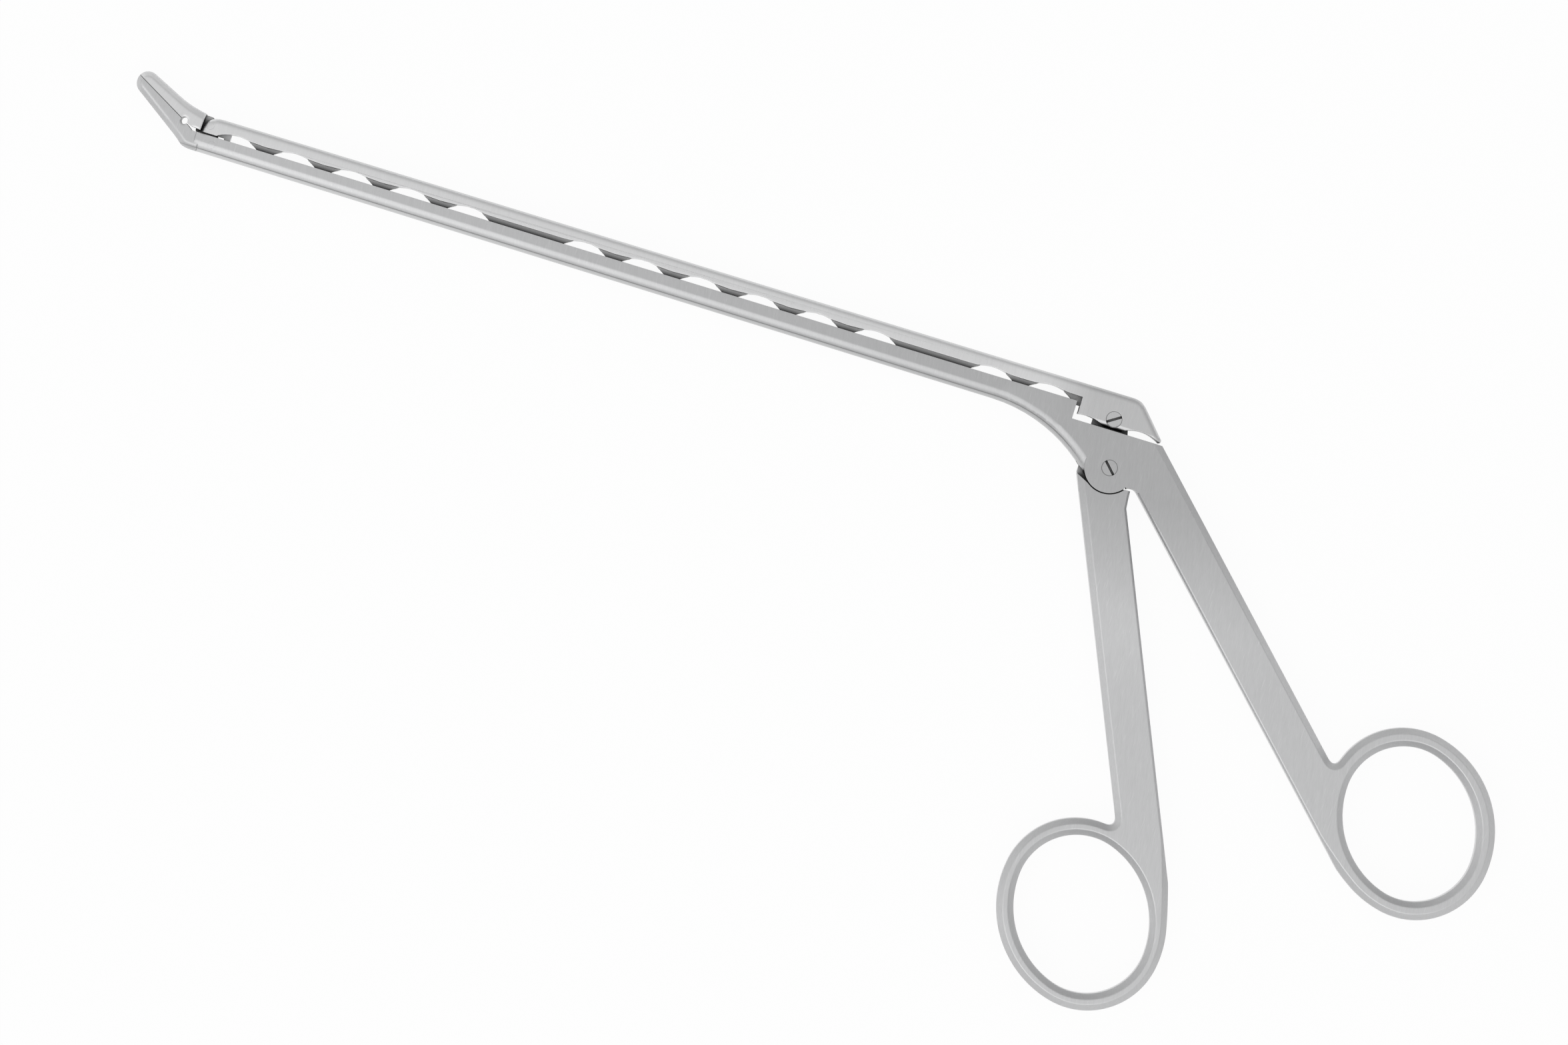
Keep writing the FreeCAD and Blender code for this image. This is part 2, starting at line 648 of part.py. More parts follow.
def bar_form():
    """Outer form of the sliding shaft: round nose, long bar with round top edges, block with a tail."""
    front, over, round_top = nose_outline()
    slope_head = (block_top_end + block_shoulder, bar_top - block_shoulder_drop)
    slope_foot = (tail_reach - tail_lip / 4, block_foot + tail_rise)
    slope = (slope_foot[0] - slope_head[0], slope_foot[1] - slope_head[1])
    length = math.hypot(*slope)
    way = (slope[0] / length, slope[1] / length)
    shoulder = (block_top_end, bar_top)
    pull = block_shoulder / 2
    tail_under = (tail_reach - tail_lip, block_foot)
    bar_under = slide_height + bar_lift
    nose_back = (-nose_reach + nose_cheek, bar_under)
    edges = [
        round_top,
        line(over, shoulder),
        bezier(shoulder, ahead(shoulder, (1, 0), pull), ahead(slope_head, way, -pull), slope_head),
        line(slope_head, slope_foot),
        bezier(
            slope_foot,
            ahead(slope_foot, way, tail_lip),
            ahead(tail_under, (1, 0), tail_lip),
            tail_under,
        ),
    ]
    edges += chain(
        tail_under,
        (-block_front, block_foot),
        (-block_front, bar_under),
        nose_back,
        (nose_back[0], front[1]),
        front,
    )
    solid = slab(Part.__sortEdges__(edges), body_thickness)
    solid = solid.common(plan_slab(width_plan(shaft_width, block_width, 30), 0, 20))

    def top_edge(edge):
        box = edge.BoundBox
        on_side = box.ZMax < mid - shaft_width / 4 or box.ZMin > mid + shaft_width / 4
        return on_side and box.YMax > bar_top - 0.01 and box.XLength > 0.05

    return solid.makeFillet(bar_edge_round, edges_where(solid, top_edge))


def sliding_shaft():
    """The upper shaft: forked nose, cleaning windows, T rails, and the rear block with its tail."""
    solid = bar_form()
    bar_under = slide_height + bar_lift
    neck = rail_mouth - 2 * slide_clearance
    neck_foot = slide_height - rail_mouth_depth + slide_clearance
    solid = solid.fuse(block(-nose_reach + fork_depth, -block_front + 0.5, neck_foot, bar_under + 0.5, neck))
    rails = []
    rail_top = slide_height - rail_mouth_depth - slide_clearance
    rail_foot = slide_height - rail_mouth_depth - rail_undercut_height + slide_clearance
    for land in rail_lands:
        centre = -first_window + land * window_pitch
        start, end = centre - rail_land_length / 2, centre + rail_land_length / 2
        rails.append(block(start, end, rail_foot, rail_top, rail_undercut - 2 * slide_clearance))
        rails.append(block(start, end, rail_foot, bar_under, neck))
    solid = solid.fuse(rails)
    window_level = slide_height + window_rise - window_radius
    holes = []
    for k in range(window_count):
        centre = -first_window + k * window_pitch
        if k and k not in rail_lands:
            holes.append(disc((centre, window_level), window_radius, 2 * body_thickness))
    # the first window keeps the neck's square front end
    first = disc((-first_window, window_level), window_radius, 2 * body_thickness)
    front_block = block(-neck_front - 3, -neck_front, 0, bar_under + 0.4, neck + 0.001)
    holes.append(first.cut(front_block))
    scallop_level = body_top + scallop_rise - window_radius
    for x in (scallop_behind, -scallop_ahead):
        holes.append(disc((x, scallop_level), window_radius, 2 * body_thickness))
    fork = block(-nose_reach - 1, -nose_reach + fork_depth, 0, 30, jaw_tang + 2 * side_clearance)
    slot_top = math.hypot(tang_front - tang_corner[0], drive_lift + tang_corner[1]) + swing_clearance
    room_front = -tang_front - tang_play - swing_clearance
    tang_room = block(room_front, tang_back + swing_clearance, 0, slot_top, cheek_gap)
    bores = [
        disc(link_pin_at, link_pin_diameter / 2 + fit_clearance, 2 * body_thickness),
        disc(drive_at, screw_diameter / 2 + fit_clearance, 2 * body_thickness),
    ]
    return solid.cut(holes + [fork, tang_room] + bores)


def upper_jaw():
    """The hinged cup with its heel, and the thin tang that reaches back into both shafts."""
    head = jaw_form().common(jaw_side(1)).cut(cup(cup_depth_upper, 1))
    relief = disc(relief_at, relief_radius, 2 * body_thickness)
    # the heel's back face leans a little ahead as it goes down
    heel = (-nose_reach, heel_top + 0.5)
    heel_foot = (-nose_reach - heel_lean, slide_height + heel_gap)
    behind = [heel, heel_foot, (-nose_reach, 0), (0, 0), (0, 30)]
    head = head.cut([relief, polygon(behind, 2 * body_thickness)])
    eye = jaw_eye_radius
    a, b = link_pin_at, jaw_pin_at
    web = [
        (-nose_reach - eye, heel_foot[1]),
        (-nose_reach - eye, heel_top - side_clearance),
        (a[0], bar_top - side_clearance),
        around(a, 1.2 * eye, 40),
        (a[0] + eye, a[1]),
        b,
        around(b, eye, 205),
    ]
    tang = hull_pair(b, a, eye, jaw_tang).fuse(polygon(web, jaw_tang))
    solid = head.fuse(tang)
    span = math.hypot(link_lead, link_rise)
    way = (-link_lead / span, link_rise / span)
    radius = link_pin_diameter / 2 + running_clearance
    near = ahead(b, way, link_rise - running_clearance)
    far = ahead(b, way, span + running_clearance)
    eyes = [
        disc(b, jaw_pin_diameter / 2 + running_clearance, 2 * body_thickness),
        hull_pair(near, far, radius, 2 * body_thickness),
    ]
    return solid.cut(eyes)


def horn_piece(outline):
    """The shoulder's rear tip, with its free side bevelled as the arm's inner side is."""
    solid = polygon(outline, body_thickness)
    free_side = min(x for x, y in outline[:-2]) - 0.01

    def free_edge(edge):
        box = edge.BoundBox
        return box.ZLength < 0.01 and box.XMin > free_side and box.YLength > 0.1

    return solid.makeChamfer(arm_bevel, edges_where(solid, free_edge))


def finger_handle():
    """The moving handle: ring, arm, a shoulder round the boss, and the thin tang that drives the shaft."""
    arm = place_arm(
        ring_arm(finger_arm_offset, finger_ring_at, finger_ring_hole, finger_ring_band),
        finger_arm_angle - 90,
        True,
    )
    horn_outline = [(lobe_radius + x, y - lobe_radius) for x, y in horn]
    arm = arm.fuse(horn_piece(horn_outline))
    hollow = lobe_radius + shoulder_gap
    left = around((0, 0), hollow, shoulder_front)
    right = around((0, 0), hollow, shoulder_rear)
    slant = (left[0] - shoulder_rise[0], left[1] + shoulder_rise[1])
    wide, high = 2 * arm_width, bar_top
    over = [left, slant, (-wide, slant[1]), (-wide, high), (wide, high), (wide, right[1]), right, (0, 0)]
    arm = arm.cut([disc((0, 0), hollow, 2 * body_thickness), polygon(over, 2 * body_thickness)])
    front = -tang_front
    head_top = (drive_at[0], drive_at[1] + tang_head_radius)
    head_back = (drive_at[0] + tang_head_radius, drive_at[1])
    root = -lobe_radius - 1
    edges = chain(
        head_back,
        (tang_back, body_top),
        around((0, 0), tang_eye_radius, tang_back_turn),
        around((0, 0), tang_eye_radius, -30),
        (-root * 0.6, root),
        (front - root * 0.25, root),
        (front, -0.5 * lobe_radius),
        (front, drive_at[1] + tang_corner_start),
    )
    corner = (front + tang_corner[0], drive_at[1] + tang_corner[1])
    edges.append(arc((front, drive_at[1] + tang_corner_start), corner, head_top))
    edges.append(arc(head_top, around(drive_at, tang_head_radius, 45), head_back))
    tang = slab(edges, tang_thickness)
    solid = arm.fuse([tang, disc((0, 0), tang_eye_radius, tang_thickness)])
    span = math.hypot(drive_lead, drive_lift)
    way = (-drive_lead / span, drive_lift / span)
    radius = screw_diameter / 2 + running_clearance
    near = ahead((0, 0), way, drive_lift - running_clearance)
    far = ahead((0, 0), way, span + running_clearance)
    eyes = [disc((0, 0), radius, 2 * body_thickness), hull_pair(near, far, radius, 2 * body_thickness)]
    return solid.cut(eyes)


def screw(at, length, slot_turn):
    """A shank flush with both faces, with a driver slot in its upper end."""
    shank = disc(at, screw_diameter / 2, length)
    slot = Part.makeBox(2 * screw_diameter, screw_slot_width, screw_slot_depth + 1)
    slot.translate(FreeCAD.Vector(-screw_diameter, -screw_slot_width / 2, 0))
    slot.rotate(FreeCAD.Vector(0, 0, 0), FreeCAD.Vector(0, 0, 1), slot_turn)
    slot.translate(vec(at, mid + length / 2 - screw_slot_depth))
    return shank.cut(slot)


def build():
    return {
        "lower_shaft": lower_shaft(),
        "sliding_shaft": sliding_shaft(),
        "upper_jaw": upper_jaw(),
        "finger_handle": finger_handle(),
        "pivot_screw": screw((0, 0), body_thickness, -46),
        "drive_screw": screw(drive_at, block_width, 33),
        "jaw_pivot_pin": disc(jaw_pin_at, jaw_pin_diameter / 2, shaft_width).common(lower_form()),
        "jaw_link_pin": disc(link_pin_at, link_pin_diameter / 2, shaft_width).common(bar_form()),
    }


if __name__ == "__main__":
    os.makedirs("parts", exist_ok=True)
    for name, shape in build().items():
        shape.exportStep(os.path.join("parts", name + ".step"))
        box = shape.BoundBox
        size = (round(box.XLength, 2), round(box.YLength, 2), round(box.ZLength, 2))
        print(name, shape.isValid(), len(shape.Solids), round(shape.Volume, 2), size)
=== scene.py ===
import math

import bmesh
import bpy
import numpy as np
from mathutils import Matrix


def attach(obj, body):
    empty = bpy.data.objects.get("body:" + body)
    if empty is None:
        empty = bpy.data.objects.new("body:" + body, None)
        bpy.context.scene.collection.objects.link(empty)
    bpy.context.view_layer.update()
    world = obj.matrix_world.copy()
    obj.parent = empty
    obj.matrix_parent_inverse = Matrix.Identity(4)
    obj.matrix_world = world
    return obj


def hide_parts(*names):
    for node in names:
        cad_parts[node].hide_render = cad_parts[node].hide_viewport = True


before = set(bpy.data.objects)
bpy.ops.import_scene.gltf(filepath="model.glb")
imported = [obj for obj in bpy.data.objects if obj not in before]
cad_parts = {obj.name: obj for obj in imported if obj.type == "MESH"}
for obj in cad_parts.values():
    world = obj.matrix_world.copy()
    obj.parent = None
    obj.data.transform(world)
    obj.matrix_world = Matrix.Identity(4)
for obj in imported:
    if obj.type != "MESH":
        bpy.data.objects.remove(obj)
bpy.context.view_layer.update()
mm = 0.001
print("frame loaded:", ", ".join(sorted(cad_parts)))

# places and sizes in mm, as in the frame: X along the shafts, Y away from the handles, Z the thickness
shape = {
    "bodyThickness": 6.6,
    "pivot": (0.0, 0.0),
    "drive": (-1.63, 7.93),
    "tip": (-171.82, 14.55),            # middle of the jaws' round tip, on the bite line
    "biteAngle": 29.0,
    "reliefFront": (-164.75, -164.65),  # the relief hole ends the bite line between these places
    "underFront": (-160.3, 6.02),       # the lower shaft's underside, from here
    "underRear": (-22.0, 5.42),         # to here, where an arc sweeps down to the boss
    "sweepCentre": (-22.11, -20.60),
    "sweepRadius": 26.02,
    "recess": (9.15, 9.90),             # height of the recess behind the windows
    "recessFront": (-156.0, -155.0),
    "recessRear": (-13.0, -12.0),
}


# steel finishes

# what every finish shares
# grains: turn from the finish's own grain in degrees, then across, along and detail as in stretchedNoise
# swings: how far a look goes up and down, as a share of itself or, for roughness, in its own units
surface = {
    "hair": (0, 8200, 620, 3.0),
    "strand": (5, 2600, 240, 2.0),
    "scratch": (-10, 5200, 300, 1.0),
    "hairRange": (0.25, 0.75),          # values of a noise over which a look swings
    "softRange": (0.3, 0.7),
    "scratchRange": (0.64, 0.72),       # only the highest values show as scratches
    "noiseRoughness": 0.62,
    "cloudScale": 110,
    "cloudDetail": 3.0,
    "drawnOut": 0.7,                    # how far the grain draws out a reflection
    "roughSwing": 0.03,
    "cloudSwing": 0.02,
    "hairSwing": 0.05,
    "strandSwing": 0.02,
    "scratchLight": 0.10,
    "relief": 0.05,                     # strength of the grain in the normals, and its depth in mm
    "samples": 8,                       # rays for each look into a hollow or over an edge
    "hollowReach": 1.3,                 # painted shade: gaps narrower than about this in mm are painted dark inside
    "hollowFrom": 0.38,                 # openness at which a hollow's painted shade is darkest
    "hollowTo": 0.88,                   # and from which a surface has its full colour
    "hollowDark": 0.08,
    "paintedUndersideWidth": (0.03, 0.11),        # half widths of the thin painted dark lines, dark part and whole, in mm
    "biteWidth": (0.04, 0.10),
    # shade of the painted dark underside line
    "paintedUndersideDark": 0.62,
    "sideways": (0.3, 0.6),             # a face whose normal has less Z than this is inside the bite
    "fadeRear": (-8.0, -5.0),           # the painted dark underside line fades out before the boss
    "fadeFront": (-168.0, -160.0),      # and ahead of the shaft
    "rimSeam": (1.22, 1.32),            # radii in mm between which a screw's rim is painted darker, as shade at its hole
    "rimDark": 0.35,
    "biteKeen": (0.2, 0.7),             # this near the bite plane, in mm, edges are hardly rounded
    "biteShare": 0.04,
}

# zones: painted light and shade along an axis, between two places in mm, the colour goes from the first
# share to the second
# edge is how far sharp edges are rounded, in mm, and edgeZones the same ahead of or below two places
steel = {
    "forged": {
        "tint": (0.520, 0.522, 0.526), "rough": 0.40, "grain": 98, "fine": 1.0, "scratch": 0.7,
        "zones": (
            ("Y", (-22.0, -3.0), 1.24, 1.0),        # painted light: the handles are painted paler than the body, standing in for the brighter reflection on them
            ("X", (-150.0, -15.0), 1.22, 1.0),      # and so is the front of the shaft
        ),
        "paintedUndersideLine": 0.55,     # height over the underside in mm of a painted dark line, standing in for the dark reflection along its rounded edge
        # shade of the painted dark line where the jaws meet
        "paintedBiteLine": 0.40,
        "edge": 0.05,
        "edgeZones": (("Y", (-8.0, -5.0), 0.28), ("X", (-160.4, -159.6), 0.62)),    # handles, jaw
    },
    "shaft": {
        "tint": (0.800, 0.802, 0.806), "rough": 0.40, "grain": 92, "fine": 0.8, "scratch": 0.2,
        "zones": (
            ("X", (-14.0, -6.0), 1.0, 0.79),        # painted shade: the rear block is painted darker than the bar's sides
            ("Y", (11.6, 12.3), 1.0, 0.78),         # and so is the round top edge, which faces away from the light
        ),
        # painted shade: how dark the recess is painted at its foot, and the openness at which a hollow is
        # painted darkest
        "recessFoot": 0.12, "hollowFrom": 0.10,
        "edge": 0.12,
        "edgeZones": (("X", (-157.5, -156.5), 0.04),),      # nose
    },
    "jaw": {
        "tint": (0.780, 0.782, 0.786), "rough": 0.40, "grain": 75, "fine": 0.7, "scratch": 0.1,
        # and the shade of the painted dark line where the jaws meet
        "edge": 0.60, "paintedBiteLine": 0.40,
    },
    "pivotScrew": {
        "tint": (0.530, 0.532, 0.536), "rough": 0.36, "grain": 20, "fine": 0.9, "scratch": 0.2,
        "edge": 0.04, "rimAbout": shape["pivot"],
    },
    "driveScrew": {
        "tint": (0.620, 0.622, 0.626), "rough": 0.36, "grain": 120, "fine": 0.9, "scratch": 0.2,
        "edge": 0.04, "rimAbout": shape["drive"],
    },
    # the forged tint, painted lighter like the front of the shaft around the pin
    "jawPin": {
        "tint": (0.635, 0.638, 0.643), "rough": 0.40, "grain": 98, "fine": 1.0, "scratch": 0.0,
        "edge": 0.01,
    },
    "linkPin": {
        "tint": (0.800, 0.802, 0.806), "rough": 0.40, "grain": 92, "fine": 0.8, "scratch": 0.0,
        "edge": 0.01,
    },
}


def link(tree, source, output, target, socket):
    tree.links.new(source.outputs[output], target.inputs[socket])


def stretchedNoise(tree, coords, turn, across, along, detail):
    # noise drawn out into hairlines: features 1/across metres wide and 1/along metres long, turned in XY
    # a Mapping node scales before it turns, so the turn comes first, in a node of its own
    turned = tree.nodes.new("ShaderNodeMapping")
    turned.inputs["Rotation"].default_value = (0, 0, -math.radians(turn))
    link(tree, coords, "Object", turned, "Vector")
    drawn = tree.nodes.new("ShaderNodeMapping")
    drawn.inputs["Scale"].default_value = (along, across, across)
    link(tree, turned, "Vector", drawn, "Vector")
    noise = tree.nodes.new("ShaderNodeTexNoise")
    noise.inputs["Scale"].default_value = 1.0
    noise.inputs["Detail"].default_value = detail
    noise.inputs["Roughness"].default_value = surface["noiseRoughness"]
    link(tree, drawn, "Vector", noise, "Vector")
    return noise


def spread(tree, source, output, lowIn, highIn, lowOut, highOut):
    ramp = tree.nodes.new("ShaderNodeMapRange")
    ramp.inputs["From Min"].default_value = lowIn
    ramp.inputs["From Max"].default_value = highIn
    ramp.inputs["To Min"].default_value = lowOut
    ramp.inputs["To Max"].default_value = highOut
    link(tree, source, output, ramp, "Value")
    return ramp


def spreadOver(tree, source, output, between, lowOut, highOut):
    # the same between two places in mm
    return spread(tree, source, output, between[0] * mm, between[1] * mm, lowOut, highOut)


def arithmetic(tree, operation, first, second):
    node = tree.nodes.new("ShaderNodeMath")
    node.operation = operation
    for socket, value in ((0, first), (1, second)):
        if isinstance(value, (int, float)):
            node.inputs[socket].default_value = value
        else:
            tree.links.new(value, node.inputs[socket])
    return node


def combine(tree, operation, *nodes):
    # one node from the first outputs of several
    result = nodes[0]
    for node in nodes[1:]:
        result = arithmetic(tree, operation, result.outputs[0], node.outputs[0])
    return result


def lineHeight(tree, coords, point, degrees):
    # height over a line in XY through a point in mm, turned by degrees from X
    turn = math.radians(degrees)
    over = tree.nodes.new("ShaderNodeVectorMath")
    over.operation = "DOT_PRODUCT"
    link(tree, coords, "Object", over, 0)
    over.inputs[1].default_value = (-math.sin(turn), math.cos(turn), 0)
    start = (point[1] * math.cos(turn) - point[0] * math.sin(turn)) * mm
    return arithmetic(tree, "SUBTRACT", over.outputs["Value"], start)


def distanceFrom(tree, coords, point):
    # distance in XY from a point in mm
    flatten = tree.nodes.new("ShaderNodeMapping")
    flatten.inputs["Scale"].default_value = (1, 1, 0)
    link(tree, coords, "Object", flatten, "Vector")
    off = tree.nodes.new("ShaderNodeVectorMath")
    off.operation = "DISTANCE"
    link(tree, flatten, "Vector", off, 0)
    off.inputs[1].default_value = (point[0] * mm, point[1] * mm, 0)
    return off


def paintedUndersideLine(tree, coords, place, height):
    # painted shade: a thin dark line for the dark reflection along the underside's rounded edge, at a
    # height over the shaft's underside, and as far from the arc by which the body sweeps down to its boss
    front, rear = shape["underFront"], shape["underRear"]
    slope = math.degrees(math.atan2(rear[1] - front[1], rear[0] - front[0]))
    onShaft = lineHeight(tree, coords, front, slope)
    off = distanceFrom(tree, coords, shape["sweepCentre"])
    onBody = arithmetic(tree, "SUBTRACT", off.outputs["Value"], shape["sweepRadius"] * mm)
    behind = spreadOver(tree, place, "X", (rear[0], rear[0] + 0.01), 0.0, 1.0)
    both = tree.nodes.new("ShaderNodeMix")
    both.data_type = "FLOAT"
    link(tree, behind, "Result", both, "Factor")
    tree.links.new(onShaft.outputs[0], both.inputs["A"])
    tree.links.new(onBody.outputs[0], both.inputs["B"])
    away = arithmetic(tree, "SUBTRACT", both.outputs["Result"], height * mm)
    away = arithmetic(tree, "ABSOLUTE", away.outputs[0], 0.0)
    rearFade = spreadOver(tree, place, "X", surface["fadeRear"], surface["paintedUndersideDark"], 1.0)
    frontFade = spreadOver(tree, place, "X", surface["fadeFront"], 1.0, surface["paintedUndersideDark"])
    depth = combine(tree, "MAXIMUM", rearFade, frontFade)
    line = spreadOver(tree, away, "Value", surface["paintedUndersideWidth"], 0.0, 1.0)
    tree.links.new(depth.outputs[0], line.inputs["To Min"])
    return line


def paintedBiteLine(tree, coords, place, bite, dark):
    # painted shade: on the jaws' sides, ahead of the relief hole, a thin dark line is painted where the two
    # rims meet
    line = spreadOver(tree, bite, "Value", surface["biteWidth"], dark, 1.0)
    behind = spreadOver(tree, place, "X", shape["reliefFront"], 0.0, 1.0)
    facing = tree.nodes.new("ShaderNodeSeparateXYZ")
    link(tree, coords, "Normal", facing, "Vector")
    facing = arithmetic(tree, "ABSOLUTE", facing.outputs["Z"], 0.0)
    inside = spread(tree, facing, "Value", *surface["sideways"], 1.0, 0.0)
    return combine(tree, "MAXIMUM", line, behind, inside)


def recessShade(tree, place, dark):
    # painted shade: the recess under the bar's lips is painted darker towards the slide face
    foot = spreadOver(tree, place, "Y", shape["recess"], dark, 1.0)
    ahead = spreadOver(tree, place, "X", shape["recessFront"], 1.0, 0.0)
    behind = spreadOver(tree, place, "X", shape["recessRear"], 0.0, 1.0)
    return combine(tree, "MAXIMUM", foot, ahead, behind)


def roundedEdges(tree, place, bite, look):
    # normals rounded over the sharp edges, more or less in some zones, and hardly at the biting edges
    radius = arithmetic(tree, "ADD", look["edge"] * mm, 0.0)
    for axis, between, edge in look.get("edgeZones", ()):
        more = spreadOver(tree, place, axis, between, (edge - look["edge"]) * mm, 0.0)
        radius = combine(tree, "ADD", radius, more)
    share = spreadOver(tree, bite, "Value", surface["biteKeen"], surface["biteShare"], 1.0)
    radius = combine(tree, "MULTIPLY", radius, share)
    bevel = tree.nodes.new("ShaderNodeBevel")
    bevel.samples = surface["samples"]
    tree.links.new(radius.outputs[0], bevel.inputs["Radius"])
    return bevel


def brushedSteel(name, look):
    material = bpy.data.materials.new(name)
    material.use_nodes = True
    tree = material.node_tree
    shader = tree.nodes["Principled BSDF"]
    shader.inputs["Metallic"].default_value = 1.0
    shader.inputs["Anisotropic"].default_value = surface["drawnOut"]
    across = tree.nodes.new("ShaderNodeCombineXYZ")
    across.inputs["X"].default_value = 1.0
    link(tree, across, "Vector", shader, "Tangent")
    coords = tree.nodes.new("ShaderNodeTexCoord")
    place = tree.nodes.new("ShaderNodeSeparateXYZ")
    link(tree, coords, "Object", place, "Vector")
    fine = look["fine"]

    def grain(kind):
        turn, *drawing = surface[kind]
        return stretchedNoise(tree, coords, look["grain"] + turn, *drawing)

    hair, strand, cross = grain("hair"), grain("strand"), grain("scratch")
    cloud = tree.nodes.new("ShaderNodeTexNoise")
    cloud.inputs["Scale"].default_value = surface["cloudScale"]
    cloud.inputs["Detail"].default_value = surface["cloudDetail"]
    link(tree, coords, "Object", cloud, "Vector")
    # distance from the plane in which the jaws meet
    bite = lineHeight(tree, coords, shape["tip"], -shape["biteAngle"])
    bite = arithmetic(tree, "ABSOLUTE", bite.outputs[0], 0.0)

    # roughness: hairlines over a soft unevenness
    swing = surface["roughSwing"] * fine
    soft = surface["softRange"]
    base = spread(tree, hair, "Fac", *soft, look["rough"] - swing, look["rough"] + swing)
    uneven = spread(tree, cloud, "Fac", *soft, -surface["cloudSwing"], surface["cloudSwing"])
    rough = combine(tree, "ADD", base, uneven)
    tree.links.new(rough.outputs[0], shader.inputs["Roughness"])

    # colour: the tint, uneven in the hairlines, light in a few longer scratches, painted dark in gaps and
    # slots as shade
    swing = surface["hairSwing"] * fine
    hairShade = spread(tree, hair, "Fac", *surface["hairRange"], 1.0 - swing, 1.0 + swing)
    swing = surface["strandSwing"] * fine
    strandShade = spread(tree, strand, "Fac", *soft, 1.0 - swing, 1.0 + swing)
    light = surface["scratchLight"] * look["scratch"]
    scratchShade = spread(tree, cross, "Fac", *surface["scratchRange"], 1.0, 1.0 + light)
    # painted shade in hollows: the colour darkens where nearby surfaces close a point in
    hollow = tree.nodes.new("ShaderNodeAmbientOcclusion")
    hollow.samples = surface["samples"]
    hollow.inputs["Distance"].default_value = surface["hollowReach"] * mm
    hollowFrom = look.get("hollowFrom", surface["hollowFrom"])
    deep = spread(tree, hollow, "AO", hollowFrom, surface["hollowTo"], surface["hollowDark"], 1.0)
    shades = [hairShade, strandShade, scratchShade, deep]
    for axis, between, first, second in look.get("zones", ()):
        shades.append(spreadOver(tree, place, axis, between, first, second))
    if "paintedUndersideLine" in look:
        shades.append(paintedUndersideLine(tree, coords, place, look["paintedUndersideLine"]))
    if "recessFoot" in look:
        shades.append(recessShade(tree, place, look["recessFoot"]))
    if "paintedBiteLine" in look:
        shades.append(paintedBiteLine(tree, coords, place, bite, look["paintedBiteLine"]))
    if "rimAbout" in look:
        # painted shade: a screw's rim is painted dark where it meets its hole
        off = distanceFrom(tree, coords, look["rimAbout"])
        shades.append(spreadOver(tree, off, "Value", surface["rimSeam"], 1.0, surface["rimDark"]))
    tint = tree.nodes.new("ShaderNodeVectorMath")
    tint.operation = "SCALE"
    tint.inputs[0].default_value = look["tint"]
    tree.links.new(combine(tree, "MULTIPLY", *shades).outputs[0], tint.inputs["Scale"])
    link(tree, tint, "Vector", shader, "Base Color")

    # the grain stands in fine relief on the rounded edges
    relief = arithmetic(tree, "ADD", hair.outputs["Fac"], strand.outputs["Fac"])
    bump = tree.nodes.new("ShaderNodeBump")
    bump.inputs["Strength"].default_value = surface["relief"] * fine
    bump.inputs["Distance"].default_value = surface["relief"] * mm
    tree.links.new(relief.outputs[0], bump.inputs["Height"])
    link(tree, roundedEdges(tree, place, bite, look), "Normal", bump, "Normal")
    link(tree, bump, "Normal", shader, "Normal")
    return material


finishes = {
    "forged": brushedSteel("forgedSteel", steel["forged"]),
    "shaft": brushedSteel("shaftSteel", steel["shaft"]),
    "jaw": brushedSteel("jawSteel", steel["jaw"]),
    "pivotScrew": brushedSteel("pivotScrewSteel", steel["pivotScrew"]),
    "driveScrew": brushedSteel("driveScrewSteel", steel["driveScrew"]),
    "jaw_pivot_pin": brushedSteel("jawPinSteel", steel["jawPin"]),
    "jaw_link_pin": brushedSteel("linkPinSteel", steel["linkPin"]),
}
print("finishes made:", len(finishes))


# dressed copies of the solids

# angles in degrees, lengths in mm
dressing = {
    "mergeWithin": 0.002,
    "rimFrom": 28,              # edges that turn by more than this are rims
    "cornerFrom": 19,           # and a rim has a corner where it turns by this
    "bulge": (0.002, 0.12),     # how far a rim's new points may move out
    "smoothUpTo": 30,           # faces that meet at less than this shade as one
    "flatUpTo": 0.8,            # and at less than this they are one flat
}


def meshObject(name, mesh):
    piece = bpy.data.objects.new(name, mesh)
    bpy.context.scene.collection.objects.link(piece)
    return piece


def turnAt(edge):
    # degrees by which the surface turns over an edge
    return math.degrees(edge.calc_face_angle(0))


def rimChains(bm):
    # the rims of a mesh, and for each vertex that has just two rim edges and is no corner, the two vertices
    # that they lead to
    rims = [e for e in bm.edges if e.is_manifold and turnAt(e) > dressing["rimFrom"]]
    around = {}
    for edge in rims:
        for here, there in (edge.verts, reversed(edge.verts)):
            around.setdefault(here, []).append(there)
    smooth = {}
    for here, others in around.items():
        if len(others) == 2:
            before, after = (here.co - others[0].co), (others[1].co - here.co)
            if math.degrees(before.angle(after, 0)) < dressing["cornerFrom"]:
                smooth[here] = others
    return rims, smooth


def tangentAt(here, there, smooth):
    # unit tangent at a rim vertex, heading for the next one: the longer of its two edges counts more
    if here not in smooth:
        return None
    other = [v for v in smooth[here] if v is not there]
    if not other:
        return None
    before, after = here.co - other[0].co, there.co - here.co
    return (before.length * before + after.length * after).normalized()


def splitCorners(bm):
    # faces that got more corners become triangles again
    bmesh.ops.triangulate(bm, faces=[f for f in bm.faces if len(f.verts) > 3])


